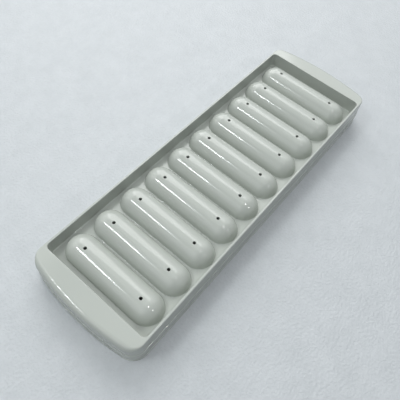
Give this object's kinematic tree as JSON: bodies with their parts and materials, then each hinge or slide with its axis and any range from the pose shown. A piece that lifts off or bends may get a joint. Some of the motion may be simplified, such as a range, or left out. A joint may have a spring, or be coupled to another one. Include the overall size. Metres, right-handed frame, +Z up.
{
  "type": "stick ice tray",
  "caption": "Two-part mould for ice sticks: a rimmed cover with a row of vented half capsules and flat bowed handles, seated on a matching tray of cups.",
  "frame": {"origin": "middle of the foot of the tray, on the surface that it stands on", "axes": "+X along the row of capsules from handle to handle, +Y along the sticks, +Z up"},
  "size_m": [0.2804, 0.0906, 0.024],
  "materials": {
    "moulded_plastic": "polished injection moulding, pale warm grey"
  },
  "bodies": {
    "tray": {"tray_frame": "moulded_plastic", "tray_cups": "moulded_plastic"},
    "cover": {"cover_frame": "moulded_plastic", "cover_domes": "moulded_plastic"}
  },
  "joints": [
    {"name": "cover_lift", "type": "slide", "parent": "tray", "child": "cover", "axis": [0, 0, 1], "range_m": [0, 0.06]}
  ]
}
